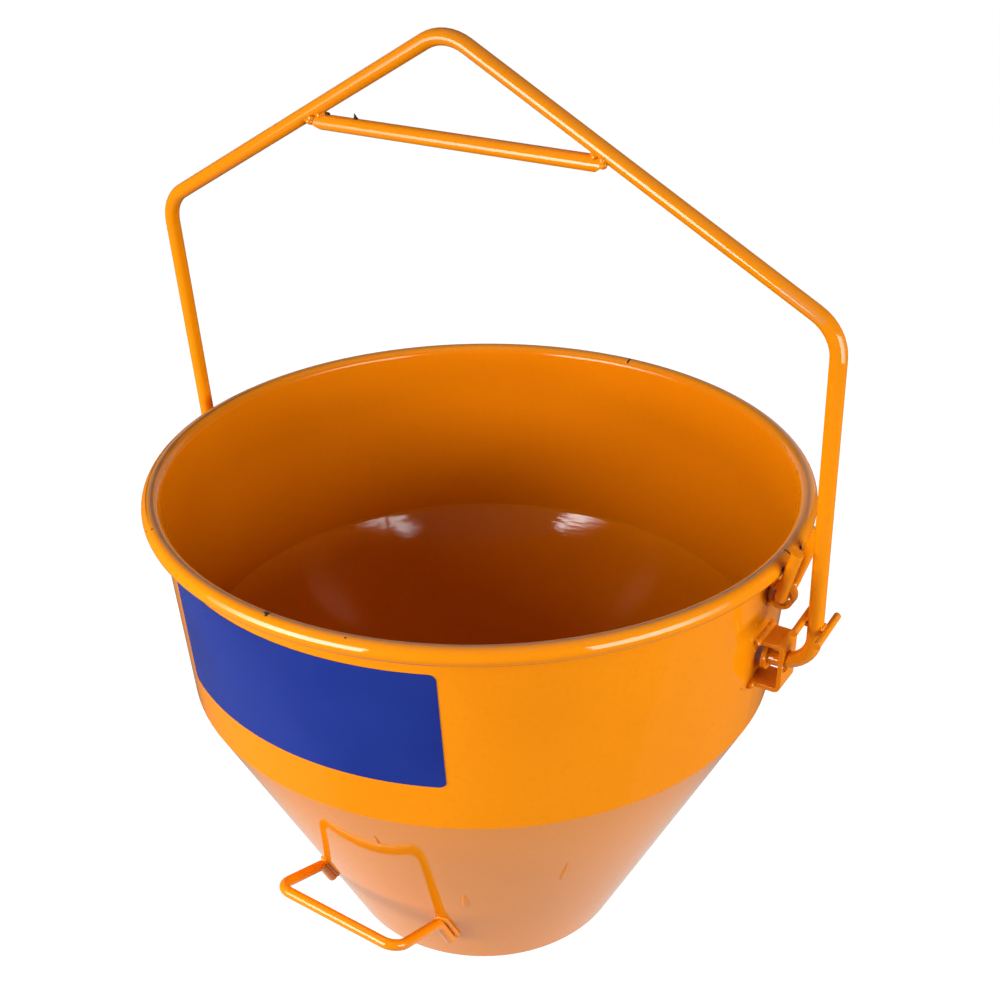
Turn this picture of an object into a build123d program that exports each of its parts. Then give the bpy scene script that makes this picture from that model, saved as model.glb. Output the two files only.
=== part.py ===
from build123d import *
import math
import os

os.makedirs("parts", exist_ok=True)

# Shell: sheet metal, a tapered band over a cone, the band's top edge rolled round a wire
sheet = 2.0
base_radius = 113.0
base_thickness = 3.0
seam_radius = 218.5
seam_height = 220.5
rim_radius = 240.0
rim_height = 370.0
wire_radius = 4.5
curl_end_angle = -110.0

# Fits: welded faces, stuck faces, the wire in its roll
weld_gap = 0.05
lay_gap = 0.15
wire_gap = 0.3

# Bail: one round bar, leaning a little forward as it stands
bar_radius = 5.3
pivot_height = 286.8
bail_lean = 4.68
foot_bend = 26.0
leg_clearance = 15.7
shoulder_rise = 245.8
shoulder_bend = 30.0
apex_rise = 392.2
apex_bend = 32.0
spreader_rise = 323.0
spreader_radius = 5.3
spreader_trim = 20.5
spreader_bevel = 35.0

# Pivot brackets and the discs on the pins' inner ends
bracket_height = 37.0
bracket_length = 24.0
bracket_sag = 2.8
bracket_shift = 3.0
bracket_stand = 3.5
bracket_hole_play = 2.5
bracket_sheet = 3.0
bracket_bend = 5.0
retainer_radius = 9.5
retainer_thickness = 3.0
retainer_set_back = 9.5
pin_stub = 1.5

# Lock: fork rod lying in a wide sleeve under the bead, seat rods across the bail's right leg
sleeve_radius = 8.8
sleeve_bore = 6.5
sleeve_length = 9.0
sleeve_drop = 26.5
rod_radius = 4.0
rod_seat_gap = 0.2
rod_seat_angle = 45.0
prong_root = 11.0
prong_tip = 18.0
prong_length = 44.0
prong_bend = 6.5
fork_rest_gap = 0.4
fork_droop = 16.0
seat_rod_radius = 2.5
seat_rod_length = 37.0

# Tipping handle and vinyl patch, both on the front of the bucket
front_azimuth = -1.9
handle_half_width = 55.3
handle_reach = 51.8
handle_rise = 18.5
handle_foot_height = 68.0
handle_tail_left = 21.0
handle_tail_right = 29.0
handle_corner_bend = 12.0
handle_foot_bend = 8.0
patch_angle = 57.4
patch_bottom = 255.5
patch_height = 89.6
patch_corner = 4.5
patch_thickness = 0.25

# Rolled bead and the wall's slope: the wall's outer face runs tangent to the wire
bead_radius = wire_radius + sheet
bead_ring = rim_radius - bead_radius
bead_height = rim_height - bead_radius
bead_run = bead_ring - seam_radius
bead_rise = bead_height - seam_height
wall_slope = math.atan2(bead_run, bead_rise) - math.asin(wire_radius / math.hypot(bead_run, bead_rise))
cone_slope = math.atan2(seam_radius - base_radius, seam_height)
band_wall = sheet / math.cos(wall_slope)
cone_wall = sheet / math.cos(cone_slope)
curl_start_angle = 180.0 - math.degrees(wall_slope)
curl_sweep = curl_start_angle - curl_end_angle


def wall_radius(height):
    return seam_radius + (height - seam_height) * math.tan(wall_slope)


def cone_radius(height):
    return base_radius + height * math.tan(cone_slope)


def on_bead(radius, angle):
    turn = math.radians(angle)
    return (bead_ring + radius * math.cos(turn), bead_height + radius * math.sin(turn))


# Upper band of the shell with its rolled bead
with BuildPart() as bucket_band:
    with BuildSketch(Plane.XZ):
        with BuildLine():
            Line((seam_radius, seam_height), on_bead(wire_radius, curl_start_angle))
            CenterArc((bead_ring, bead_height), wire_radius, curl_start_angle, -curl_sweep)
            Line(on_bead(wire_radius, curl_end_angle), on_bead(bead_radius, curl_end_angle))
            CenterArc((bead_ring, bead_height), bead_radius, curl_end_angle, curl_sweep)
            Line(on_bead(bead_radius, curl_start_angle), (seam_radius - band_wall, seam_height))
            Line((seam_radius - band_wall, seam_height), (seam_radius, seam_height))
        make_face()
    revolve(axis=Axis.Z)
bucket_band.part.label = "bucket_band"
export_step(bucket_band.part, "parts/bucket_band.step")

# Wire the band's edge is rolled round
with BuildPart() as rim_wire:
    with BuildSketch(Plane.XZ):
        with Locations((bead_ring, bead_height)):
            Circle(wire_radius - wire_gap)
    revolve(axis=Axis.Z)
rim_wire.part.label = "rim_wire"
export_step(rim_wire.part, "parts/rim_wire.step")

# Lower cone of the shell, butted against the band at the seam
with BuildPart() as hopper_cone:
    with BuildSketch(Plane.XZ):
        Polygon(
            (base_radius - cone_wall, 0),
            (base_radius, 0),
            (seam_radius, seam_height),
            (seam_radius - cone_wall, seam_height),
            align=None,
        )
    revolve(axis=Axis.Z)
hopper_cone.part.label = "hopper_cone"
export_step(hopper_cone.part, "parts/hopper_cone.step")

# Bottom plate, let in between the cone's walls and flush with its lower edge
with BuildPart() as base_disc:
    with BuildSketch(Plane.XZ):
        Polygon(
            (0, 0),
            (cone_radius(0) - cone_wall - weld_gap, 0),
            (cone_radius(base_thickness) - cone_wall - weld_gap, base_thickness),
            (0, base_thickness),
            align=None,
        )
    revolve(axis=Axis.Z)
base_disc.part.label = "base_disc"
export_step(base_disc.part, "parts/base_disc.step")

# Folded U bracket, its flanges cut to the shell's curve, its web drilled wide for the bail's bent foot
leg_offset = rim_radius + leg_clearance + bar_radius
bracket_face = rim_radius + bracket_stand
bracket_root = base_radius
bracket_top = pivot_height - bracket_sag + bracket_height / 2
bracket_bottom = bracket_top - bracket_height
with BuildPart() as bracket_right:
    with BuildSketch(Plane.XZ.offset(-bracket_shift)):
        with BuildLine():
            FilletPolyline(
                (bracket_root, bracket_top),
                (bracket_face, bracket_top),
                (bracket_face, bracket_bottom),
                (bracket_root, bracket_bottom),
                radius=bracket_bend,
            )
            Line((bracket_root, bracket_bottom), (bracket_root, bracket_bottom + bracket_sheet))
            FilletPolyline(
                (bracket_root, bracket_bottom + bracket_sheet),
                (bracket_face - bracket_sheet, bracket_bottom + bracket_sheet),
                (bracket_face - bracket_sheet, bracket_top - bracket_sheet),
                (bracket_root, bracket_top - bracket_sheet),
                radius=bracket_bend - bracket_sheet,
            )
            Line((bracket_root, bracket_top - bracket_sheet), (bracket_root, bracket_top))
        make_face()
    extrude(amount=bracket_length / 2, both=True)
    with BuildSketch(Plane.XZ):
        Polygon(
            (0, 0),
            (base_radius + weld_gap, 0),
            (seam_radius + weld_gap, seam_height),
            (wall_radius(bead_height) + weld_gap, bead_height),
            (0, bead_height),
            align=None,
        )
    revolve(axis=Axis.Z, mode=Mode.SUBTRACT)
    with BuildSketch(Plane(origin=(bracket_face, 0, pivot_height), z_dir=(1, 0, 0))):
        Circle(bar_radius + bracket_hole_play)
    extrude(amount=-2 * bracket_sheet, mode=Mode.SUBTRACT)
bracket_right.part.label = "bracket_right"
export_step(bracket_right.part, "parts/bracket_right.step")

# The same bracket on the other side
with BuildPart() as bracket_left:
    mirror(bracket_right.part, about=Plane.YZ)
bracket_left.part.label = "bracket_left"
export_step(bracket_left.part, "parts/bracket_left.step")

# Bail: pins through the brackets, legs outside them, a roof with a rounded peak
lean = math.radians(bail_lean)
bail_plane = Plane(
    origin=(0, 0, pivot_height),
    x_dir=(1, 0, 0),
    z_dir=(0, -math.cos(lean), -math.sin(lean)),
)
retainer_face = bracket_face - bracket_sheet - retainer_set_back
pin_end = retainer_face - retainer_thickness - pin_stub
with BuildPart() as bail_bar:
    with BuildLine(bail_plane) as bail_path:
        FilletPolyline(
            (pin_end, 0),
            (leg_offset, 0),
            (leg_offset, shoulder_rise),
            (0, apex_rise),
            (-leg_offset, shoulder_rise),
            (-leg_offset, 0),
            (-pin_end, 0),
            radius=(foot_bend, shoulder_bend, apex_bend, shoulder_bend, foot_bend),
        )
    with BuildSketch(Plane(origin=(pin_end, 0, pivot_height), z_dir=(1, 0, 0))):
        Circle(bar_radius)
    sweep(path=bail_path.wires()[0])
bail_bar.part.label = "bail_bar"
export_step(bail_bar.part, "parts/bail_bar.step")

# Spreader under the peak, its ends cut to the roof bars' undersides and bevelled below
spreader_half = leg_offset * (apex_rise - spreader_rise) / (apex_rise - shoulder_rise)
spreader_centre = bail_plane.from_local_coords((0, spreader_rise, 0))
bevel_low = (spreader_half - spreader_trim, spreader_rise - spreader_radius)
bevel_high = (spreader_half, bevel_low[1] + spreader_trim * math.tan(math.radians(spreader_bevel)))
with BuildPart() as bail_spreader:
    with BuildSketch(Plane(origin=spreader_centre, z_dir=(1, 0, 0))):
        Circle(spreader_radius)
    extrude(amount=spreader_half, both=True)
    with BuildSketch(Plane(origin=(pin_end, 0, pivot_height), z_dir=(1, 0, 0))):
        Circle(bar_radius + weld_gap)
    sweep(path=bail_path.wires()[0], mode=Mode.SUBTRACT)
    with BuildSketch(bail_plane):
        Polygon(
            (-bevel_low[0], bevel_low[1]),
            bevel_low,
            bevel_high,
            (spreader_half, apex_rise),
            (-spreader_half, apex_rise),
            (-bevel_high[0], bevel_high[1]),
            align=None,
        )
    extrude(amount=2 * spreader_radius, both=True, mode=Mode.INTERSECT)
bail_spreader.part.label = "bail_spreader"
export_step(bail_spreader.part, "parts/bail_spreader.step")

# Discs welded on the pins inside the brackets, which keep the bail's feet from spreading out
with BuildPart() as retaining_discs:
    with BuildSketch(Plane(origin=(retainer_face, 0, pivot_height), z_dir=(1, 0, 0))):
        Circle(retainer_radius)
        Circle(bar_radius + weld_gap, mode=Mode.SUBTRACT)
    extrude(amount=-retainer_thickness)
    mirror(about=Plane.YZ)
retaining_discs.part.label = "retaining_discs"
export_step(retaining_discs.part, "parts/retaining_discs.step")

# Hinge sleeve of the lock, a short tube lying against the band just under the bead
sleeve_height = bead_height - sleeve_drop
sleeve_offset = wall_radius(sleeve_height) + (sleeve_radius + weld_gap) / math.cos(wall_slope)
with BuildPart() as hinge_sleeve:
    with BuildSketch(Plane.XZ):
        with Locations((sleeve_offset, sleeve_height)):
            Circle(sleeve_radius)
            Circle(sleeve_bore, mode=Mode.SUBTRACT)
    extrude(amount=sleeve_length / 2, both=True)
hinge_sleeve.part.label = "hinge_sleeve"
export_step(hinge_sleeve.part, "parts/hinge_sleeve.step")

# Lock fork, its rod loose in the sleeve and its splayed prongs raised against the bead
rod_play = sleeve_bore - rod_radius - rod_seat_gap
hinge_x = sleeve_offset + rod_play * math.cos(math.radians(rod_seat_angle))
hinge_z = sleeve_height + rod_play * math.sin(math.radians(rod_seat_angle))
prong_middle = (prong_root + prong_tip) / 2
bead_away = hinge_x - math.sqrt(bead_ring**2 - prong_middle**2)
bead_above = bead_height - hinge_z
bead_reach = bead_radius + rod_radius + fork_rest_gap
fork_raised = math.atan2(bead_away, bead_above) + math.acos(bead_reach / math.hypot(bead_away, bead_above))
fork_plane = Plane(
    origin=(hinge_x, 0, hinge_z),
    x_dir=(0, 1, 0),
    z_dir=(math.sin(fork_raised), 0, -math.cos(fork_raised)),
)
with BuildPart() as lock_fork:
    with BuildLine(fork_plane) as fork_path:
        FilletPolyline(
            (-prong_tip, prong_length),
            (-prong_root, 0),
            (prong_root, 0),
            (prong_tip, prong_length),
            radius=prong_bend,
        )
    fork_wire = fork_path.wires()[0]
    with BuildSketch(Plane(origin=fork_wire @ 0, z_dir=fork_wire % 0)):
        Circle(rod_radius)
    sweep(path=fork_wire)
lock_fork.part.label = "lock_fork"
export_step(lock_fork.part, "parts/lock_fork.step")

# Seat rods across the right leg; their higher ends, behind the leg, stop a prong at the droop angle
droop = math.radians(fork_droop)
seat_drop = (rod_radius + seat_rod_radius) / math.cos(droop) + prong_middle * math.tan(lean)
seat_spread = bar_radius + seat_rod_radius + weld_gap
outer_seat_x = leg_offset + seat_spread
inner_seat_x = leg_offset - seat_spread
outer_seat_rise = hinge_z - (outer_seat_x - hinge_x) * math.tan(droop) - seat_drop - pivot_height
inner_seat_rise = hinge_z - (inner_seat_x - hinge_x) * math.tan(droop) - seat_drop - pivot_height
with BuildPart() as seat_rod_outer:
    with BuildSketch(bail_plane):
        with Locations((outer_seat_x, outer_seat_rise)):
            Circle(seat_rod_radius)
    extrude(amount=seat_rod_length / 2, both=True)
seat_rod_outer.part.label = "seat_rod_outer"
export_step(seat_rod_outer.part, "parts/seat_rod_outer.step")

# Inner seat rod, on the leg's bucket side
with BuildPart() as seat_rod_inner:
    with BuildSketch(bail_plane):
        with Locations((inner_seat_x, inner_seat_rise)):
            Circle(seat_rod_radius)
    extrude(amount=seat_rod_length / 2, both=True)
seat_rod_inner.part.label = "seat_rod_inner"
export_step(seat_rod_inner.part, "parts/seat_rod_inner.step")

# Tipping handle: a rod whose tails lie on the cone and whose grip stands off the front
front = math.radians(front_azimuth)
front_out = Vector(math.sin(front), -math.cos(front), 0)
front_across = Vector(math.cos(front), math.sin(front), 0)
arm_run = handle_reach * math.cos(math.radians(handle_rise))
arm_climb = handle_reach * math.sin(math.radians(handle_rise))
arm_out = front_out * arm_run + Vector(0, 0, arm_climb)


def on_cone(side, height):
    ring = cone_radius(height) + (rod_radius + weld_gap) / math.cos(cone_slope)
    forward = math.sqrt(ring**2 - handle_half_width**2)
    return front_across * (side * handle_half_width) + front_out * forward + Vector(0, 0, height)


def handle_side(side, tail):
    foot = on_cone(side, handle_foot_height)
    return [on_cone(side, handle_foot_height - tail * math.cos(cone_slope)), foot, foot + arm_out]


with BuildPart() as tipping_handle:
    with BuildLine() as handle_path:
        FilletPolyline(
            *handle_side(-1, handle_tail_left),
            *reversed(handle_side(1, handle_tail_right)),
            radius=(handle_foot_bend, handle_corner_bend, handle_corner_bend, handle_foot_bend),
        )
    handle_wire = handle_path.wires()[0]
    with BuildSketch(Plane(origin=handle_wire @ 0, z_dir=handle_wire % 0)):
        Circle(rod_radius)
    sweep(path=handle_wire)
tipping_handle.part.label = "tipping_handle"
export_step(tipping_handle.part, "parts/tipping_handle.step")

# Plain vinyl patch with rounded corners, stuck on the front of the band
patch_top = patch_bottom + patch_height
patch_middle = (patch_bottom + patch_top) / 2
patch_width = 2 * wall_radius(patch_middle) * math.sin(math.radians(patch_angle / 2))
patch_face = wall_radius(seam_height) + lay_gap
patch_rim = wall_radius(bead_height) + lay_gap
with BuildPart() as decal_patch:
    with BuildSketch(Plane(origin=(0, 0, patch_middle), x_dir=front_across, z_dir=front_out)):
        RectangleRounded(patch_width, patch_height, patch_corner)
    extrude(amount=rim_radius)
    with BuildSketch(Plane.XZ):
        Polygon(
            (patch_face, seam_height),
            (patch_face + patch_thickness, seam_height),
            (patch_rim + patch_thickness, bead_height),
            (patch_rim, bead_height),
            align=None,
        )
    revolve(axis=Axis.Z, mode=Mode.INTERSECT)
decal_patch.part.label = "decal_patch"
export_step(decal_patch.part, "parts/decal_patch.step")
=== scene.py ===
import math
import random

import bmesh
import bpy
from mathutils import Matrix, Vector


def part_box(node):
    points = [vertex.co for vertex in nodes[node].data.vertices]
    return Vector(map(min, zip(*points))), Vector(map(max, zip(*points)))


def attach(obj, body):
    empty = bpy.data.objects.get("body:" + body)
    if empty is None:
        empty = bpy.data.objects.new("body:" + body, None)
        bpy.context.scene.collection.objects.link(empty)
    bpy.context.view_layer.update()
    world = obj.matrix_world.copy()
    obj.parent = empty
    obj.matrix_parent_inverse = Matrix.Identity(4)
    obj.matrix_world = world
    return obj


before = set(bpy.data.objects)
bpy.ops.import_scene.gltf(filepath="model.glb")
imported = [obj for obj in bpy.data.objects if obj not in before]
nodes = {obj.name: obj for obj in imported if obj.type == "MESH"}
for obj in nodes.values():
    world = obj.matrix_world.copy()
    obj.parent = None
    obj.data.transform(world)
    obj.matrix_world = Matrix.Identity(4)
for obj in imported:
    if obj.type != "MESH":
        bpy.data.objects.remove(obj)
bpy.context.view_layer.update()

# Upper band of the shell: 2 mm steel sheet rolled to a slightly tapered hoop, its top edge rolled outward
# round a wire, and sprayed glossy orange inside and out, the inside painted a deeper orange as shade. The
# roll is rubbed dull along its crest, where its colour also paints the shade of the roll's top and a faint
# grey reflection.
# It is darkened along a line at the front and one at the left, nicked across at each quarter, and knocked
# where the lock fork leans on it.
band_low, band_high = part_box("bucket_band")
rim_radius = band_high.x
rim_height = band_high.z
seam_height = band_low.z
seam_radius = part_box("hopper_cone")[1].x
wall_lean = math.radians(4.19)
sheet = 0.002
bead_radius = 0.0065
bead_ring = rim_radius - bead_radius
bead_height = rim_height - bead_radius
fresh_orange = (0.765, 0.234, 0.002, 1)
clouded_orange = (0.715, 0.213, 0.0015, 1)
grained_orange = (0.63, 0.175, 0.0012, 1)
# Painted shade: the deeper orange that the inner faces of the shell are blended towards.
shaded_inside_orange = (0.72, 0.15, 0.001, 1)
# Colour of worn paint; on the roll's crest it also stands for the painted shade of the top and a faint grey
# reflection.
rubbed_and_sheen_colour = (0.50, 0.225, 0.105, 1)
chip_colour = (0.022, 0.012, 0.008, 1)
chip_depth = 1.2e-4
roller_stretch = (20.0, 20.0, 130.0)
nick_half_width = 0.0010
# Chips on the roll: degrees round the rim from the front, degrees outward from the crest, radius.
rim_chips = ((-34.8, 20, 0.0011), (-35.6, 60, 0.0010), (13.6, 20, 0.0009), (86.4, 80, 0.0019),
             (93.7, 72, 0.0019), (85.6, 104, 0.0013), (-0.4, -6, 0.0020), (-89.2, 24, 0.0020))
# Dark lines along the roll, drawn in the chip colour and sunk like chips: lean from the crest, raggedness,
# where they end and are full, strength.
left_dark_line = (0.42, 0.12, 0.17, 0.09, 0.7)
front_dark_line = (-0.22, 0.30, 0.38, 0.22, 0.45)


def give(tree, socket, value):
    """Gives a socket a plain value, or links another node's output to it."""
    if isinstance(value, bpy.types.NodeSocket):
        tree.links.new(value, socket)
    else:
        socket.default_value = value


def add_node(tree, kind, feeds=None, **settings):
    """Adds a shader node with its settings and what feeds its inputs, and returns its outputs."""
    made = tree.nodes.new("ShaderNode" + kind)
    for setting, value in settings.items():
        setattr(made, setting, value)
    for socket, value in (feeds or {}).items():
        give(tree, made.inputs[socket], value)
    return made.outputs


def calculate(tree, operation, first, second=0.0):
    return add_node(tree, "Math", {0: first, 1: second}, operation=operation)[0]


def fade(tree, value, start, end, low=0.0, high=1.0):
    """Eases from low to high while the value goes from start to end."""
    feeds = {"Value": value, "From Min": start, "From Max": end, "To Min": low, "To Max": high}
    return add_node(tree, "MapRange", feeds, interpolation_type="SMOOTHSTEP")[0]


def speckle(tree, place, scale, detail=2.0, rough=0.5):
    feeds = {"Vector": place, "Scale": scale, "Detail": detail, "Roughness": rough}
    return add_node(tree, "TexNoise", feeds)[0]


def blend_colour(tree, share, first, second):
    mixer = add_node(tree, "Mix", data_type="RGBA")[0].node
    for name, value in (("Factor_Float", share), ("A_Color", first), ("B_Color", second)):
        give(tree, next(socket for socket in mixer.inputs if socket.identifier == name), value)
    return next(socket for socket in mixer.outputs if socket.identifier == "Result_Color")


def spots(tree, place, centres):
    """A mask of ragged spots: centres is a list of (point, radius)."""
    ragged = add_node(tree, "TexNoise", {"Vector": place, "Scale": 700.0, "Detail": 2.0})[1]
    shift = add_node(tree, "VectorMath", {0: ragged, 1: (0.5, 0.5, 0.5)}, operation="SUBTRACT")[0]
    shift = add_node(tree, "VectorMath", {0: shift, "Scale": 0.0022}, operation="SCALE")[0]
    place = add_node(tree, "VectorMath", {0: place, 1: shift}, operation="ADD")[0]
    found = 0.0
    for centre, radius in centres:
        away = add_node(tree, "VectorMath", {0: place, 1: centre}, operation="DISTANCE")[1]
        found = calculate(tree, "MAXIMUM", found, fade(tree, away, radius, 0.7 * radius))
    return found


def ring_and_height(tree, place):
    """How far a place is from the bucket's axis, and how high it is."""
    east, north, up = add_node(tree, "SeparateXYZ", {0: place})
    flat = add_node(tree, "CombineXYZ", {0: east, 1: north})[0]
    return add_node(tree, "VectorMath", {0: flat}, operation="LENGTH")[1], up


def inner_face(foot_radius, foot_height, slope):
    """Gives the mask of a shell's inner face: 1 inside the middle of the sheet, 0 outside it."""
    def mask(tree, place):
        ring, up = ring_and_height(tree, place)
        rise = calculate(tree, "MULTIPLY", calculate(tree, "SUBTRACT", up, foot_height), slope)
        past = calculate(tree, "SUBTRACT", ring, calculate(tree, "ADD", rise, foot_radius))
        return fade(tree, past, 0.0004, -0.0004)
    return mask


def new_material(name):
    """A new material, with its node tree, its shader, and the place on the piece for patterns to read."""
    made = bpy.data.materials.new(name)
    made.use_nodes = True
    tree = made.node_tree
    return made, tree, tree.nodes["Principled BSDF"], add_node(tree, "TexCoord")["Object"]


def lay_finish(tree, shader, colour, gloss, height=None, edge=0.0):
    """Feeds the shader's colour, roughness and relief; edge is the radius that rounds sharp edges."""
    tree.links.new(colour, shader.inputs["Base Color"])
    tree.links.new(gloss, shader.inputs["Roughness"])
    if height is None:
        return
    relief = add_node(tree, "Bump", {"Height": height, "Distance": 1.0, "Strength": 1.0})[0]
    tree.links.new(relief, shader.inputs["Normal"])
    if edge:
        rounded = add_node(tree, "Bevel", {"Radius": edge}, samples=8)[0]
        tree.links.new(rounded, relief.node.inputs["Normal"])


def orange_paint(name, bare=None, dull=None, inside=None, rolled=0.0, matt=0.0, hollow=0.0,
                 wavy=1.6e-4, peel=9e-6, edge=0.0):
    """Glossy orange paint. bare and dull give the masks of chipped and of rubbed paint; on the roll's crest
    the rubbed colour also paints the shade of its top and a faint grey reflection. inside is the mask of a
    shell's inner face, where rolled is the depth of the roller lines, matt the roughness of the thinner
    coat and hollow the slope that the rolling left, and where the colour is painted a deeper orange as
    shade. wavy is the depth of the metal's unevenness, peel that of the spray's orange peel, and edge the
    radius to which sprayed paint rounds a cut edge."""
    made, tree, shader, place = new_material(name)
    shader.inputs["IOR"].default_value = 1.5
    cloud = fade(tree, speckle(tree, place, scale=7.0, detail=3.0), 0.3, 0.7)
    colour = blend_colour(tree, cloud, fresh_orange, clouded_orange)
    grain = speckle(tree, place, scale=260.0, detail=3.0)
    colour = blend_colour(tree, fade(tree, grain, 0.45, 0.8, 0.0, 0.25), colour, grained_orange)
    gloss = fade(tree, speckle(tree, place, scale=28.0, detail=3.0), 0.3, 0.75, 0.045, 0.09)
    waves = calculate(tree, "MULTIPLY", speckle(tree, place, scale=14.0, detail=1.0), wavy)
    orange_peel = calculate(tree, "MULTIPLY", speckle(tree, place, scale=330.0, detail=1.0), peel)
    height = calculate(tree, "ADD", waves, orange_peel)
    if inside:
        within = inside(tree, place)
        up = add_node(tree, "SeparateXYZ", {0: place})[2]
        lines = add_node(tree, "Mapping", {"Vector": place, "Scale": roller_stretch})[0]
        streak = calculate(tree, "MULTIPLY", speckle(tree, lines, scale=3.2, detail=1.5), rolled)
        streak = calculate(tree, "SUBTRACT", streak, calculate(tree, "MULTIPLY", up, hollow))
        height = calculate(tree, "ADD", height, calculate(tree, "MULTIPLY", streak, within))
        gloss = calculate(tree, "MAXIMUM", gloss, calculate(tree, "MULTIPLY", within, matt))
        # Painted shade: the inner face is blended part way to a deeper orange so that it looks shaded.
        colour = blend_colour(tree, calculate(tree, "MULTIPLY", within, 0.4), colour, shaded_inside_orange)
    if dull:
        rub_and_sheen = dull(tree, place)
        colour = blend_colour(tree, rub_and_sheen, colour, rubbed_and_sheen_colour)
        gloss = calculate(tree, "MAXIMUM", gloss, calculate(tree, "MULTIPLY", rub_and_sheen, 0.36))
    if bare:
        chipped = bare(tree, place)
        colour = blend_colour(tree, chipped, colour, chip_colour)
        gloss = calculate(tree, "MAXIMUM", gloss, calculate(tree, "MULTIPLY", chipped, 0.6))
        height = calculate(tree, "SUBTRACT", height, calculate(tree, "MULTIPLY", chipped, chip_depth))
    lay_finish(tree, shader, colour, gloss, height, edge)
    return made


def paint_node(node, material):
    nodes[node].data.materials.clear()
    nodes[node].data.materials.append(material)


def bead_crest(tree, place):
    """The lean round the roll from its crest, outward positive."""
    ring, up = ring_and_height(tree, place)
    out = calculate(tree, "SUBTRACT", ring, bead_ring)
    climb = calculate(tree, "SUBTRACT", up, bead_height)
    return calculate(tree, "ARCTAN2", out, climb)


# Painted shade and reflection: besides the rub, this band along the crest paints the shade of the roll's
# top and a faint grey reflection.
def crest_rub_and_sheen(tree, place):
    lean = calculate(tree, "ABSOLUTE", bead_crest(tree, place))
    wander = calculate(tree, "MULTIPLY", speckle(tree, place, scale=45.0, detail=4.0, rough=0.65), 0.30)
    return fade(tree, calculate(tree, "ADD", lean, wander), 0.40, 0.24, 0.0, 0.6)


def nicks_and_knocks(tree, place):
    lean = bead_crest(tree, place)
    east, north = add_node(tree, "SeparateXYZ", {0: place})[:2]
    aside = calculate(tree, "ABSOLUTE", east)
    nearest = calculate(tree, "MINIMUM", aside, calculate(tree, "ABSOLUTE", north))
    wander = calculate(tree, "MULTIPLY", speckle(tree, place, scale=420.0), 0.0008)
    across = calculate(tree, "ADD", nearest, wander)
    across = fade(tree, across, nick_half_width + 0.0004, nick_half_width)
    front_and_back = fade(tree, north, -0.1, 0.1, -0.09, -0.40)
    middle = fade(tree, aside, 0.1, 0.2, front_and_back, 0.48)
    along = calculate(tree, "ABSOLUTE", calculate(tree, "SUBTRACT", lean, middle))
    along = fade(tree, along, 0.52, 0.38)
    worn = calculate(tree, "MULTIPLY", across, along)
    on_the_left = fade(tree, east, -0.13, -0.17)
    at_the_front = fade(tree, north, 0.06, -0.02)
    # Two dark lines along the roll, at the left and at the front, laid into the same mask as the chips.
    for dark_line, stretch in ((left_dark_line, on_the_left), (front_dark_line, at_the_front)):
        line, ragged, ends, full, strength = dark_line
        off_line = calculate(tree, "ABSOLUTE", calculate(tree, "SUBTRACT", lean, line))
        wander = calculate(tree, "MULTIPLY", speckle(tree, place, scale=60.0, detail=3.0), ragged)
        darkened = fade(tree, calculate(tree, "ADD", off_line, wander), ends, full, 0.0, strength)
        worn = calculate(tree, "MAXIMUM", worn, calculate(tree, "MULTIPLY", darkened, stretch))
    chips = []
    for azimuth, tilt, radius in rim_chips:
        turn = math.radians(azimuth)
        tip = math.radians(tilt)
        ring = bead_ring + bead_radius * math.sin(tip)
        level = bead_height + bead_radius * math.cos(tip)
        chips.append(((ring * math.sin(turn), -ring * math.cos(turn), level), radius))
    return calculate(tree, "MAXIMUM", worn, spots(tree, place, chips))


band_inner_face = inner_face(seam_radius - sheet / 2, seam_height, math.tan(wall_lean))
paint_node("bucket_band", orange_paint("band_paint", bare=nicks_and_knocks, dull=crest_rub_and_sheen,
                                       inside=band_inner_face, rolled=1e-5, matt=0.15))

# Wire inside the rolled edge: plain drawn steel, closed in by the band's sheet and never painted.
# It only shows as the roll's roundness; its own finish is mill scale over bright steel.
bright_steel = (0.40, 0.39, 0.38, 1)
mill_scale = (0.22, 0.19, 0.17, 1)
wire_steel, wire_tree, wire_shader, wire_place = new_material("rim_wire_steel")
wire_shader.inputs["Metallic"].default_value = 1.0
scale_marks = speckle(wire_tree, wire_place, scale=180.0, detail=4.0)
wire_colour = blend_colour(wire_tree, scale_marks, bright_steel, mill_scale)
lay_finish(wire_tree, wire_shader, wire_colour, fade(wire_tree, scale_marks, 0.3, 0.7, 0.3, 0.5))
paint_node("rim_wire", wire_steel)

# Lower cone of the shell: sheet rolled to a cone and butt welded to the band, the seam dressed flush
# outside. The same paint, with roller lines round the inside and the lowest edge scuffed from standing
# on site floors.
base_radius = 0.113
cone_slope = (seam_radius - base_radius) / seam_height
cone_lean = math.atan(cone_slope)


def scuffed_foot(tree, place):
    up = add_node(tree, "SeparateXYZ", {0: place})[2]
    ragged = calculate(tree, "MULTIPLY", speckle(tree, place, scale=90.0, detail=4.0, rough=0.7), 0.006)
    return fade(tree, calculate(tree, "ADD", up, ragged), 0.0042, 0.0030, 0.0, 0.7)


cone_inner_face = inner_face(base_radius - sheet / 2, 0.0, cone_slope)
paint_node("hopper_cone", orange_paint("cone_paint", dull=scuffed_foot, inside=cone_inner_face,
                                       rolled=3.2e-5, hollow=0.0085, wavy=4e-5))

# Bottom plate: a 3 mm disc let in between the cone's walls and welded all round from inside.
# Painted like the shell, then scratched by shovels and settled rubble.
base_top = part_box("base_disc")[1].z
scratch_turn = (0, 0, 0.6)
scratch_stretch = (14.0, 420.0, 1.0)


def shovel_scratches(tree, place):
    feeds = {"Vector": place, "Rotation": scratch_turn, "Scale": scratch_stretch}
    stretched = add_node(tree, "Mapping", feeds)[0]
    return fade(tree, speckle(tree, stretched, scale=1.0, detail=3.0, rough=0.6), 0.66, 0.74, 0.0, 0.6)


paint_node("base_disc", orange_paint("base_paint", dull=shovel_scratches, edge=0.0005))

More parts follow.
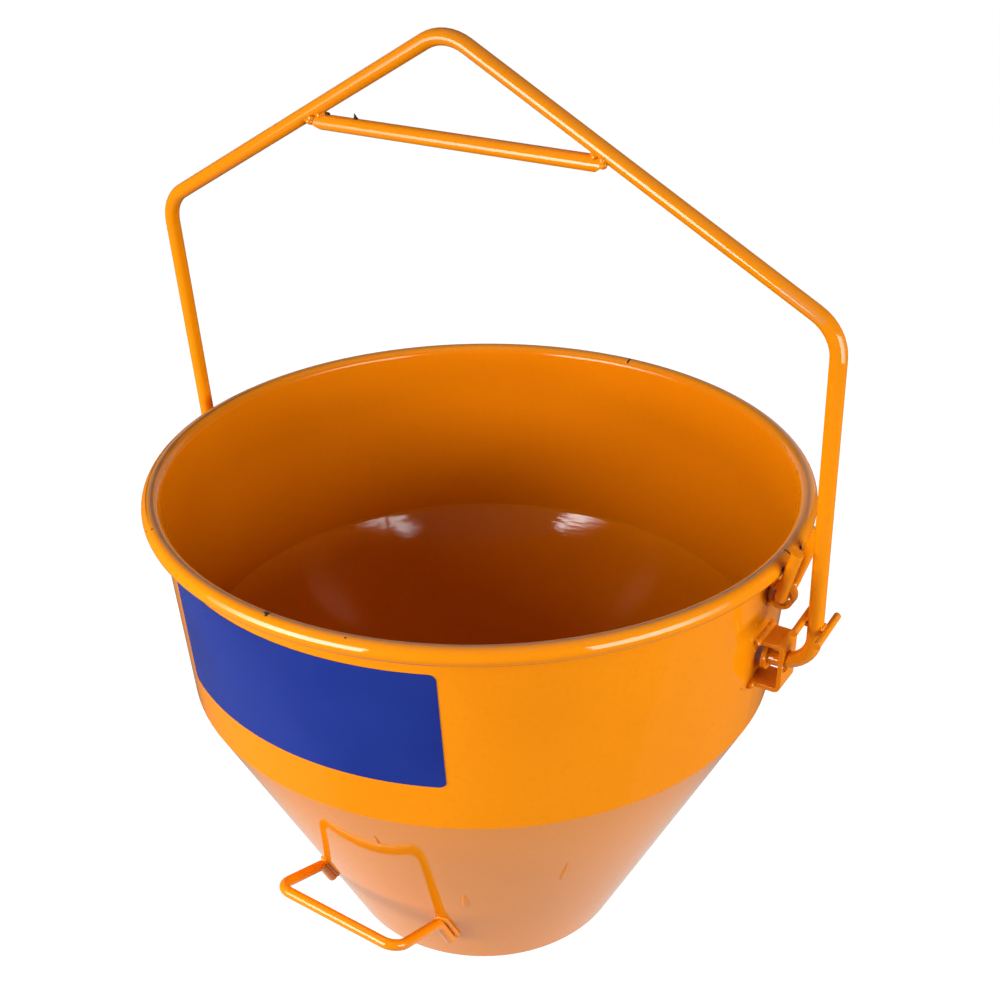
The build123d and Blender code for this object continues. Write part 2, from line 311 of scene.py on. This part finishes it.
# Ring welds inside the shell: a fillet round the bottom plate, and the band's seam to the cone ground to a
# smooth hollow. Both are steel under the same coat of paint.
weld_paint = orange_paint("weld_paint", wavy=0.0, peel=1.2e-5)
wall_inside = seam_radius - sheet / math.cos(wall_lean)
cone_inside = seam_radius - sheet / math.cos(cone_lean)
base_inside = base_radius - sheet / math.cos(cone_lean) + base_top * cone_slope
hollow_top = 0.0017
hollow_foot = 0.0013
sunk_edge = 0.00002
hollow_outline = ((wall_inside + hollow_top * math.tan(wall_lean) + sunk_edge, seam_height + hollow_top),
                  (wall_inside - 0.00008, seam_height + 0.0009),
                  (cone_inside - 0.00012, seam_height + 0.0001),
                  (cone_inside - 0.00040, seam_height - 0.0006),
                  (cone_inside - hollow_foot * cone_slope + sunk_edge, seam_height - hollow_foot),
                  (cone_inside + 0.0008, seam_height))
fillet_outline = [(base_inside + out, base_top + rise) for out, rise in (
    (-0.0042, -0.0002), (-0.0030, 0.0011), (-0.0012, 0.0021),
    (0.0006, 0.0034), (0.0021, 0.0042), (0.0004, -0.0002))]


def finished_piece(name, shape, body, material):
    mesh = bpy.data.meshes.new(name)
    shape.to_mesh(mesh)
    shape.free()
    mesh.shade_smooth()
    mesh.set_sharp_from_angle(angle=math.radians(55))
    mesh.materials.append(material)
    piece = bpy.data.objects.new(name, mesh)
    bpy.context.scene.collection.objects.link(piece)
    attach(piece, body)
    return piece


def ring_weld(name, outline, ripples, ripple_depth):
    """A closed ring spun from an outline of (radius, height), its middle point lifted ripple by ripple."""
    ring = bmesh.new()
    corners = [ring.verts.new((radius, 0, height)) for radius, height in outline]
    edges = [ring.edges.new(pair) for pair in zip(corners, corners[1:] + corners[:1])]
    bmesh.ops.spin(ring, geom=corners + edges, cent=(0, 0, 0), axis=(0, 0, 1), angle=2 * math.pi,
                   steps=360, use_merge=True)
    bmesh.ops.remove_doubles(ring, verts=ring.verts, dist=1e-6)
    bmesh.ops.recalc_face_normals(ring, faces=ring.faces)
    crown_height = outline[len(outline) // 2][1]
    for point in ring.verts:
        if abs(point.co.z - crown_height) < 1e-6:
            turn = math.atan2(point.co.y, point.co.x)
            radial = Vector((math.cos(turn), math.sin(turn), 0))
            point.co -= radial * ripple_depth * math.sin(ripples * turn)
    finished_piece(name, ring, "bucket", weld_paint)


ring_weld("seam_hollow", hollow_outline, ripples=0, ripple_depth=0.0)
ring_weld("base_fillet", fillet_outline, ripples=116, ripple_depth=0.00022)

# Back seam: the sheet's own joint, where the rolled band and cone are closed. It is laid outside, at the
# back, as one bead of weld metal and painted over.
back_step = 0.0022
back_foot = 0.010
back_seam_gap = 0.002
back_top_gap = 0.009


def axes(first, second, third):
    """The turn that takes x, y and z to these three ways."""
    return Matrix((first, second, third)).transposed().to_4x4()


def melt_together(piece, voxel):
    melt = piece.modifiers.new("melt", "REMESH")
    melt.mode = "VOXEL"
    melt.voxel_size = voxel
    melt.use_smooth_shade = True


def weld_run(name, body, stops, half_width, crown, seed, voxel=0.0004):
    """A painted weld: ripples at the stops, pairs of (point, outward), are melted into one bead."""
    dice = random.Random(seed)
    bead = bmesh.new()
    for index, (point, outward) in enumerate(stops):
        ahead = stops[min(index + 1, len(stops) - 1)][0]
        behind = stops[max(index - 1, 0)][0]
        along = (ahead - behind).normalized()
        across = outward.cross(along).normalized()
        length = 0.55 * half_width + 0.0006
        width = half_width * dice.uniform(0.86, 1.14)
        rise = crown * dice.uniform(0.82, 1.18)
        turned = axes(along, across, along.cross(across))
        place = Matrix.Translation(point) @ turned @ Matrix.Diagonal((length, width, rise, 1.0))
        bmesh.ops.create_icosphere(bead, subdivisions=2, radius=1.0, matrix=place)
    piece = finished_piece(name, bead, body, weld_paint)
    melt_together(piece, voxel)
    ease = piece.modifiers.new("ease", "SMOOTH")
    ease.factor = 0.5
    ease.iterations = 3


def spread(start, end, step):
    """Evenly spaced numbers from start to end, about a step apart."""
    count = max(2, round(abs(end - start) / step) + 1)
    return [start + (end - start) * index / (count - 1) for index in range(count)]


def wall_radius(height):
    return seam_radius + (height - seam_height) * math.tan(wall_lean)


def cone_radius(height):
    return base_radius + height * cone_slope


def cone_outward(level_way):
    """The way straight out of the cone's wall, above a level way out from the axis."""
    return level_way * math.cos(cone_lean) - Vector((0, 0, math.sin(cone_lean)))


backward = Vector((0, 1, 0))
back_stops = [(Vector((0, cone_radius(height), height)), cone_outward(backward))
              for height in spread(back_foot, seam_height, back_step)]
back_stops += [(Vector((0, wall_radius(height), height)), backward)
               for height in spread(seam_height + back_seam_gap, bead_height - back_top_gap, back_step)]
weld_run("back_seam_weld", "bucket", back_stops, half_width=0.0027, crown=0.0010, seed=11, voxel=0.0005)

# Pivot brackets: 3 mm steel strip folded to a U with the hole for the bail's foot punched in its web.
# One on each side, its flanges welded to the band along their top and bottom.
bracket_paint = orange_paint("bracket_paint", wavy=6e-5, peel=5e-6, edge=0.0006)
weld_stand_off = 0.0013
rear_overrun = 0.001
for node, side, seed in (("bracket_right", 1, 21), ("bracket_left", -1, 31)):
    paint_node(node, bracket_paint)
    bracket_low, bracket_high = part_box(node)
    for edge_name, level, climb, front_overrun in (("top", bracket_high.z, 1, 0.0022),
                                                   ("bottom", bracket_low.z, -1, 0.001)):
        ring = wall_radius(level)
        stops = []
        for depth in spread(bracket_low.y - front_overrun, bracket_high.y + rear_overrun, step=0.0019):
            radial = Vector((side * math.sqrt(ring ** 2 - depth ** 2), depth, 0)).normalized()
            corner = radial * (ring + weld_stand_off) + Vector((0, 0, level))
            stops.append((corner, (radial + Vector((0, 0, climb))).normalized()))
        weld_run(f"{node}_{edge_name}_weld", "bucket", stops, half_width=0.0030, crown=0.0023,
                 seed=seed + climb)

# Hinge sleeve: a short piece of tube laid along the band under the roll on the right, for the lock fork to
# turn in. Welded to the wall above and below its line of contact.
sleeve_low, sleeve_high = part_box("hinge_sleeve")
sleeve_middle = (sleeve_low + sleeve_high) / 2
sleeve_radius = (sleeve_high.z - sleeve_low.z) / 2
sleeve_end_gap = 0.0002
paint_node("hinge_sleeve", orange_paint("sleeve_paint", wavy=4e-5, peel=5e-6, edge=0.0004))
for name, angle, seed in (("sleeve_lower_weld", -128.0, 41), ("sleeve_upper_weld", 131.0, 42)):
    turn = math.radians(angle)
    touch_x = sleeve_middle.x + sleeve_radius * math.cos(turn)
    touch_z = sleeve_middle.z + sleeve_radius * math.sin(turn)
    outward = Vector((0.5, 0, math.sin(turn)))
    stops = []
    for depth in spread(sleeve_low.y + sleeve_end_gap, sleeve_high.y - sleeve_end_gap, step=0.0016):
        wall_x = math.sqrt(wall_radius(touch_z) ** 2 - depth ** 2)
        stops.append((Vector((0.45 * wall_x + 0.55 * touch_x, depth, touch_z)), outward))
    weld_run(name, "bucket", stops, half_width=0.0024, crown=0.0019, seed=seed)

# Tipping handle: 8 mm rod bent to a loop low on the front. Its two tails lie down the cone and are welded
# along both sides and over the top of each foot.
handle_azimuth = math.radians(-1.9)
handle_front = Vector((math.sin(handle_azimuth), -math.cos(handle_azimuth), 0))
handle_across = Vector((math.cos(handle_azimuth), math.sin(handle_azimuth), 0))
handle_half_width = 0.0553
foot_height = 0.068
foot_gap = 0.0033
foot_lift = 0.0008
foot_step = 0.0019
tail_gap = 0.002
turn_height = foot_height + 0.0005
turn_rise = 0.0036
weld_lean = 200
paint_node("tipping_handle", orange_paint("handle_paint", wavy=3e-5, peel=2e-6))


def on_cone(sideways, height):
    """A point of the cone's outside, by its distance from the handle's middle plane, with the way out."""
    ring = cone_radius(height)
    flat = handle_across * sideways + handle_front * math.sqrt(ring ** 2 - sideways ** 2)
    return flat + Vector((0, 0, height)), cone_outward(flat.normalized())


for name, side, tail, seed in (("handle_left_weld", -1, 0.021, 51), ("handle_right_weld", 1, 0.029, 52)):
    tail_end = foot_height - tail * math.cos(cone_lean) + tail_gap
    track = [(-foot_gap, height) for height in spread(tail_end, turn_height, foot_step)]
    track += [(-foot_gap * math.cos(turn), turn_height + turn_rise * math.sin(turn))
              for turn in spread(0.5, math.pi - 0.5, step=0.5)]
    track += [(foot_gap, height) for height in spread(turn_height, tail_end, foot_step)]
    stops = []
    for shift, height in track:
        point, outward = on_cone(side * handle_half_width + shift, height)
        leaning = (outward + handle_across * shift * weld_lean).normalized()
        stops.append((point + outward * foot_lift, leaning))
    weld_run(name, "bucket", stops, half_width=0.0021, crown=0.0018, seed=seed)

# Paint runs: three drops of thick paint that ran down the cone's front and set there. Each is a tear, thin
# above and round below, proud of the coat by about a millimetre and less glossy than the rest.
thin_end = 0.42
run_paint = orange_paint("run_paint", wavy=0.0, peel=4e-6)
run_paint.node_tree.nodes["Principled BSDF"].inputs["Specular IOR Level"].default_value = 0.16
for name, azimuth, top, bottom, half_width, proud in (
        ("paint_run_low", 28.0, 0.117, 0.095, 0.0030, 0.0011),
        ("paint_run_long", 51.0, 0.155, 0.126, 0.0025, 0.0010),
        ("paint_run_high", 12.3, 0.193, 0.181, 0.0021, 0.0008)):
    turn = math.radians(azimuth)
    radial = Vector((math.sin(turn), -math.cos(turn), 0))
    sideways = Vector((math.cos(turn), math.sin(turn), 0))
    outward = cone_outward(radial)
    downward = sideways.cross(outward)
    middle = (top + bottom) / 2
    half_length = (top - bottom) / 2 / math.cos(cone_lean)
    drop = bmesh.new()
    bmesh.ops.create_uvsphere(drop, u_segments=28, v_segments=20, radius=1.0)
    for point in drop.verts:
        swell = thin_end + (1 - thin_end) * (0.5 + 0.5 * math.sin(0.5 * math.pi * point.co.z))
        point.co.x *= swell * half_width
        point.co.y *= swell * proud
        point.co.z *= half_length
    centre = radial * cone_radius(middle) + Vector((0, 0, middle))
    bmesh.ops.transform(drop, matrix=Matrix.Translation(centre) @ axes(sideways, outward, downward),
                        verts=drop.verts)
    bmesh.ops.recalc_face_normals(drop, faces=drop.faces)
    finished_piece(name, drop, "bucket", run_paint)

# Patch: a plain blue vinyl film stuck on the front of the band, with the faint streaks of the squeegee that
# pressed it down and a few pinhead bubbles left under it.
fresh_blue = (0.0105, 0.027, 0.200, 1)
clouded_blue = (0.008, 0.020, 0.17, 1)
squeegee_stretch = (6.0, 6.0, 160.0)
bubble_height = 4e-5
film_grain_depth = 1.2e-6
vinyl, vinyl_tree, vinyl_shader, vinyl_place = new_material("blue_vinyl_film")
vinyl_cloud = fade(vinyl_tree, speckle(vinyl_tree, vinyl_place, scale=9.0, detail=3.0), 0.3, 0.7)
vinyl_colour = blend_colour(vinyl_tree, vinyl_cloud, fresh_blue, clouded_blue)
squeegee = add_node(vinyl_tree, "Mapping", {"Vector": vinyl_place, "Scale": squeegee_stretch})[0]
vinyl_gloss = fade(vinyl_tree, speckle(vinyl_tree, squeegee, scale=1.0, detail=3.0), 0.3, 0.7, 0.20, 0.27)
bubble_cells = add_node(vinyl_tree, "TexVoronoi", {"Vector": vinyl_place, "Scale": 60.0})
few_cells = add_node(vinyl_tree, "SeparateColor", {0: bubble_cells["Color"]})[0]
few_cells = fade(vinyl_tree, few_cells, 0.88, 0.92, 0.0, bubble_height)
bubbles = fade(vinyl_tree, bubble_cells["Distance"], 0.10, 0.02)
bubbles = calculate(vinyl_tree, "MULTIPLY", bubbles, few_cells)
film_grain = speckle(vinyl_tree, vinyl_place, scale=900.0)
film_grain = calculate(vinyl_tree, "MULTIPLY", film_grain, film_grain_depth)
lay_finish(vinyl_tree, vinyl_shader, vinyl_colour, vinyl_gloss,
           calculate(vinyl_tree, "ADD", bubbles, film_grain))
paint_node("decal_patch", vinyl)

# Bail: one 10 mm round bar bent to two legs and a peaked roof, its feet turned in through the brackets.
# Smooth bright paint, rubbed under the peak by the hook and scuffed at the right shoulder.
pivot_height = 0.2868
bail_lean = math.radians(4.68)
bar_radius = 0.0053
leg_offset = 0.2610
shoulder_rise = 0.2458
apex_rise = 0.3922
roof_slope = (apex_rise - shoulder_rise) / leg_offset
roof_lean = math.atan(roof_slope)
bail_up = Vector((0, -math.sin(bail_lean), math.cos(bail_lean)))
bail_front = Vector((0, -math.cos(bail_lean), -math.sin(bail_lean)))
hook_rub_drop = 0.0185
hook_rub_radius = 0.008
shoulder_rub_start = 0.2270
shoulder_rub_end = 0.2510
shoulder_rub_radius = 0.0030


def on_bail(across, rise, front=0.0):
    """A point by its place in the leaning bail: across from the middle, up from the pins, and forward."""
    return Vector((across, 0, pivot_height)) + bail_up * rise + bail_front * front


def bail_rubs(tree, place):
    rubs = [(tuple(on_bail(0.0, apex_rise - hook_rub_drop)), hook_rub_radius)]
    for across in spread(shoulder_rub_start, shoulder_rub_end, step=0.0034):
        rise = apex_rise - across * roof_slope + 0.0012
        rubs.append((tuple(on_bail(across, rise, front=0.0050)), shoulder_rub_radius))
    return calculate(tree, "MULTIPLY", spots(tree, place, rubs), 0.34)


paint_node("bail_bar", orange_paint("bail_paint", dull=bail_rubs, wavy=5e-5, peel=2e-6))

# Spreader: a straight bar welded across under the peak, so that the hook stays in the middle. Its ends are
# cut at a slant and saddled to the roof bars by a short bead of weld.
spreader_rise = 0.323
spreader_radius = 0.0053
spreader_corner = 0.1029
spreader_cut_slope = 0.7
saddle_half_turn = math.radians(78)
saddle_inset = 0.0012
paint_node("bail_spreader", orange_paint("spreader_paint", wavy=5e-5, peel=2e-6, edge=0.0004))
for name, side, seed in (("spreader_left_weld", -1, 61), ("spreader_right_weld", 1, 62)):
    stops = []
    for turn in spread(-saddle_half_turn, saddle_half_turn, step=0.42):
        front = spreader_radius * math.sin(turn)
        rise = spreader_rise + spreader_radius * math.cos(turn)
        below_middle = math.sqrt(max(bar_radius ** 2 - front ** 2, 0)) / math.cos(roof_lean)
        saddle = (apex_rise - below_middle - rise) / roof_slope
        slanted_end = spreader_corner + (rise - spreader_rise + spreader_radius) / spreader_cut_slope
        across = min(saddle, slanted_end) - saddle_inset
        outward = bail_front * math.sin(turn) + Vector((-side * (0.35 + math.cos(turn)), 0, 0))
        stops.append((on_bail(side * across, rise, front), outward.normalized()))
    weld_run(name, "bail", stops, half_width=0.0031, crown=0.0026, seed=seed)

# Slag left at the spreader's weld: a dark spike standing on its top and a dark bead in the left corner.
# Burnt steel that the paint did not cover.
burnt_brown = (0.055, 0.022, 0.006, 1)
burnt_black = (0.012, 0.008, 0.006, 1)
slag, slag_tree, slag_shader, slag_place = new_material("weld_slag")
slag_shader.inputs["Specular IOR Level"].default_value = 0.3
slag_grain = speckle(slag_tree, slag_place, scale=900.0, detail=3.0)
lay_finish(slag_tree, slag_shader, blend_colour(slag_tree, slag_grain, burnt_brown, burnt_black),
           fade(slag_tree, slag_grain, 0.3, 0.7, 0.35, 0.65),
           calculate(slag_tree, "MULTIPLY", slag_grain, 1e-4))
spike = bmesh.new()
bmesh.ops.create_icosphere(spike, subdivisions=2, radius=1.0,
                           matrix=Matrix.Diagonal((0.0019, 0.0015, 0.0010, 1)))
bmesh.ops.create_cone(spike, cap_ends=True, segments=14, radius1=0.0016, radius2=0.0002, depth=0.0040,
                      matrix=Matrix.Translation((0, 0, 0.0016)))
spike_height = 0.0036
spike_bend = 0.0009
for point in spike.verts:
    point.co.x -= spike_bend * max(point.co.z / spike_height, 0) ** 2
left_bead = bmesh.new()
bmesh.ops.create_icosphere(left_bead, subdivisions=2, radius=1.0,
                           matrix=Matrix.Diagonal((0.0019, 0.0016, 0.0013, 1)))
upright = axes(Vector((1, 0, 0)), -bail_front, bail_up)
for name, shape, across, lift in (("spreader_slag_spike", spike, -0.0752, 0.0),
                                  ("spreader_slag_bead", left_bead, -0.0985, 0.0004)):
    foot = on_bail(across, spreader_rise + spreader_radius + lift)
    bmesh.ops.transform(shape, matrix=Matrix.Translation(foot) @ upright, verts=shape.verts)
    melt_together(finished_piece(name, shape, "bail", slag), voxel=0.00025)

# Seat rods: two short 5 mm rods welded across the right leg, outside and inside, for the lowered fork to
# rest on. Each is welded to the leg above and below, and rubbed bright where the prongs sit.
seat_radius = 0.0025
prong_reach = 0.0150
prong_mark = 0.0030
seat_weld_rise = 0.0021
seat_weld_reach = 0.0026
prong_seats = []
for node, side, seed in (("seat_rod_outer", 1, 71), ("seat_rod_inner", -1, 73)):
    rod_low, rod_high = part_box(node)
    rod_middle = (rod_low + rod_high) / 2
    rod_rise = (rod_middle - Vector((rod_middle.x, 0, pivot_height))).dot(bail_up)
    touch = leg_offset + side * bar_radius
    for reach in (-prong_reach, prong_reach):
        prong_seats.append((tuple(on_bail(rod_middle.x, rod_rise + seat_radius, reach)), prong_mark))
    for level, climb in (("upper", 1), ("lower", -1)):
        outward = (bail_up * climb + Vector((0.2 * side, 0, 0))).normalized()
        stops = [(on_bail(touch, rod_rise + climb * seat_weld_rise, reach), outward)
                 for reach in spread(-seat_weld_reach, seat_weld_reach, step=0.0013)]
        weld_run(f"{node}_{level}_weld", "bail", stops, half_width=0.0017, crown=0.0014,
                 seed=seed + climb, voxel=0.0003)


def rubbed_seats(tree, place):
    return calculate(tree, "MULTIPLY", spots(tree, place, prong_seats), 0.25)


seat_paint = orange_paint("seat_rod_paint", dull=rubbed_seats, wavy=3e-5, peel=2e-6, edge=0.0003)
paint_node("seat_rod_outer", seat_paint)
paint_node("seat_rod_inner", seat_paint)

# Retaining discs: 3 mm washers welded on the bail's feet inside the brackets, so that the feet can't pull
# out. A ring of weld closes each round the foot's end.
disc_inner_face = 0.2280
disc_weld_ring = bar_radius + 0.0004
disc_weld_step = 2 * math.pi / 24
paint_node("retaining_discs", orange_paint("disc_paint", wavy=3e-5, peel=4e-6, edge=0.0004))
for name, side, seed in (("disc_right_weld", 1, 81), ("disc_left_weld", -1, 82)):
    centre = Vector((side * disc_inner_face, 0, pivot_height))
    stops = []
    for turn in spread(0.0, 2 * math.pi - disc_weld_step, disc_weld_step):
        radial = Vector((0, math.cos(turn), math.sin(turn)))
        stops.append((centre + radial * disc_weld_ring, (radial - Vector((side, 0, 0))).normalized()))
    weld_run(name, "bail", stops, half_width=0.0014, crown=0.0011, seed=seed, voxel=0.0003)

# Lock fork: 8 mm rod bent to a splayed U and threaded through the sleeve before its second bend. Loose, so
# its prongs have chipped paint where they knock against the roll when it is thrown up.
hinge_place = Vector((0.2375445, 0, 0.3386263))
prong_knocks = ((Vector((-0.0032, -0.0148, 0.0205)), 0.0024),
                (Vector((-0.0034, 0.0152, 0.0252)), 0.0026),
                (Vector((0.0030, -0.0180, 0.0430)), 0.0012))


def prong_chips(tree, place):
    return spots(tree, place, [(tuple(hinge_place + knock), radius) for knock, radius in prong_knocks])


paint_node("lock_fork", orange_paint("fork_paint", bare=prong_chips, wavy=3e-5, peel=2e-6, edge=0.0003))

# Weld spatter: beads of steel thrown on the band round both pivot brackets, stuck there and painted over.
# They sit about half sunk in the coat.
beads_each_side = 9
spatter_turn = 6.5
spatter_levels = (0.258, 0.322)
spatter_radii = (0.0004, 0.0009)
dice = random.Random(91)
spatter = bmesh.new()
for side in (1, -1):
    for bead in range(beads_each_side):
        turn = math.radians(90 + dice.uniform(-spatter_turn, spatter_turn))
        level = dice.uniform(*spatter_levels)
        radius = dice.uniform(*spatter_radii)
        ring = wall_radius(level) + 0.15 * radius
        spot = Vector((side * math.sin(turn) * ring, -math.cos(turn) * ring, level))
        bmesh.ops.create_icosphere(spatter, subdivisions=2, radius=radius, matrix=Matrix.Translation(spot))
finished_piece("weld_spatter", spatter, "bucket", weld_paint)

# Stage: a plain white table, brightest round the bucket's foot and dimmer further off, so that the cone
# mirrors white and the band mirrors the dim room. The camera sees it evenly white.
table_front = 0.30
table_reach = 14.0
view_azimuth = math.radians(32.47)
white = (1, 1, 1, 1)


def stage_sheet(name, matrix, half_size, material):
    shape = bmesh.new()
    bmesh.ops.create_grid(shape, x_segments=1, y_segments=1, size=half_size, matrix=matrix)
    mesh = bpy.data.meshes.new(name)
    shape.to_mesh(mesh)
    shape.free()
    mesh.materials.append(material)
    made = bpy.data.objects.new(name, mesh)
    bpy.context.scene.collection.objects.link(made)
    return made


table_white, table_tree, table_shader, table_place = new_material("table_white")
table_shader.inputs["Base Color"].default_value = (0.12, 0.12, 0.12, 1)
table_shader.inputs["Roughness"].default_value = 0.9
table_shader.inputs["Specular IOR Level"].default_value = 0.0
table_shader.inputs["Emission Color"].default_value = white
from_middle = add_node(table_tree, "VectorMath", {0: table_place}, operation="LENGTH")[1]
mirrored = fade(table_tree, from_middle, 0.14, 0.36, 0.59, 0.03)
near_light = fade(table_tree, from_middle, 0.17, 0.23, 0.36, 0.105)
far_light = fade(table_tree, from_middle, 0.36, 0.44, 0.44, 0.046)
lit = calculate(table_tree, "MINIMUM", near_light, far_light)
ray = add_node(table_tree, "LightPath")
lit = fade(table_tree, ray["Is Glossy Ray"], 0.0, 1.0, lit, mirrored)
lit = calculate(table_tree, "MAXIMUM", lit, ray["Is Camera Ray"])
table_tree.links.new(lit, table_shader.inputs["Emission Strength"])
table_white.cycles.emission_sampling = "NONE"
table_middle = Matrix.Translation((0, table_reach - table_front, 0))
stage_sheet("table", Matrix.Rotation(view_azimuth, 4, "Z") @ table_middle, table_reach, table_white)

# Light: soft lamps on both sides of the viewer and one behind, beamed at the bucket so that the bail's roof
# is dimmer, under a faint ceiling. The camera sees the dim room as white.
bucket_middle = Vector((0, 0, 0.21))
lamp_distance = 1.8
room_strength = 0.10


def placed(azimuth, elevation, distance):
    """The matrix of something that faces the bucket's middle from that way and that far off."""
    turn = math.radians(azimuth)
    rise = math.radians(elevation)
    away = Vector((math.sin(turn) * math.cos(rise), -math.cos(turn) * math.cos(rise), math.sin(rise)))
    turned = away.to_track_quat("Z", "Y").to_matrix().to_4x4()
    return Matrix.Translation(bucket_middle + distance * away) @ turned


for name, azimuth, elevation, width, tall, power, beam, shines in (
        ("lamp_right", 76.0, 18.0, 0.95, 0.37, 3.55, 80.0, False),
        ("lamp_left", -17.0, 18.0, 1.15, 0.37, 4.55, 80.0, False),
        ("lamp_left_top", -17.0, 30.0, 1.15, 0.37, 1.57, 80.0, False),
        ("lamp_low_right", 102.0, 5.0, 0.95, 0.37, 4.60, 80.0, False),
        ("lamp_low_left", -42.0, 5.0, 0.95, 0.37, 6.50, 80.0, False),
        ("lamp_back", 222.0, 6.0, 1.60, 0.37, 4.50, 80.0, False),
        ("ceiling", 32.5, 90.0, 2.0, 2.0, 3.0, 180.0, True)):
    lamp = bpy.data.lights.new(name, "AREA")
    lamp.shape = "RECTANGLE"
    lamp.size = width
    lamp.size_y = tall
    lamp.energy = power
    lamp.spread = math.radians(beam)
    holder = bpy.data.objects.new(name, lamp)
    holder.matrix_world = placed(azimuth, elevation, lamp_distance)
    holder.visible_camera = False
    holder.visible_glossy = shines
    bpy.context.scene.collection.objects.link(holder)
room = bpy.data.worlds.new("dim_room")
bpy.context.scene.world = room
room.use_nodes = True
room_tree = room.node_tree
room_light = room_tree.nodes["Background"]
room_light.inputs["Color"].default_value = white
room_seen = add_node(room_tree, "LightPath")["Is Camera Ray"]
room_tree.links.new(fade(room_tree, room_seen, 0.0, 1.0, room_strength, 1.0), room_light.inputs["Strength"])

# Panels: two upright soft boxes close by, each dimmer towards its outer edge, and the pale backdrop behind.
# They are seen only as reflections in the paint: they light nothing and the camera looks past them.
outer_bright = 1.5
for name, azimuth, elevation, distance, width, tall, bright, outer_side in (
        ("soft_box_right", 84.2, 10.5, 1.13, 0.90, 0.63, 8.5, 1),
        ("soft_box_left", -24.5, 10.5, 1.13, 1.08, 0.63, 13.5, -1),
        ("backdrop", 205.0, 14.0, 1.8, 2.6, 1.2, 0.62, None)):
    glow, glow_tree, glow_shader, glow_place = new_material(name + "_glow")
    glow_shader.inputs["Base Color"].default_value = (0, 0, 0, 1)
    glow_shader.inputs["Specular IOR Level"].default_value = 0.0
    glow_shader.inputs["Emission Color"].default_value = white
    strength = bright
    if outer_side:
        turn = math.radians(azimuth)
        outward = outer_side * Vector((math.cos(turn), math.sin(turn), 0))
        across = add_node(glow_tree, "VectorMath", {0: glow_place, 1: outward}, operation="DOT_PRODUCT")[1]
        strength = fade(glow_tree, across, -0.1 * width, 0.5 * width, bright, outer_bright)
    give(glow_tree, glow_shader.inputs["Emission Strength"], strength)
    glow.cycles.emission_sampling = "NONE"
    sized = placed(azimuth, elevation, distance) @ Matrix.Diagonal((width, tall, 1, 1))
    panel = stage_sheet(name, sized, 0.5, glow)
    panel.visible_camera = False
    panel.visible_diffuse = False
    panel.visible_shadow = False

# Camera: at the photograph's place, to the right of the bucket's front and looking down into its mouth.
# Its lens and its slight roll give the photograph's frame, with no shift.
camera_place = Vector((0.4998, -0.7588, 0.8262))
view_elevation = math.radians(28.11)
view_roll = math.radians(-0.42)
camera = bpy.data.objects.new("camera", bpy.data.cameras.new("camera"))
camera.data.sensor_width = 36.0
camera.data.lens = 50.62
camera.data.clip_end = 50.0
back = Vector((math.cos(view_elevation) * math.sin(view_azimuth),
               -math.cos(view_elevation) * math.cos(view_azimuth), math.sin(view_elevation)))
right = Vector((math.cos(view_azimuth), math.sin(view_azimuth), 0))
up = back.cross(right)
tilted_right = right * math.cos(view_roll) + up * math.sin(view_roll)
tilted_up = up * math.cos(view_roll) - right * math.sin(view_roll)
camera.matrix_world = Matrix.Translation(camera_place) @ axes(tilted_right, tilted_up, back)
bpy.context.scene.collection.objects.link(camera)
bpy.context.scene.camera = camera
bpy.context.scene.view_settings.view_transform = "Standard"
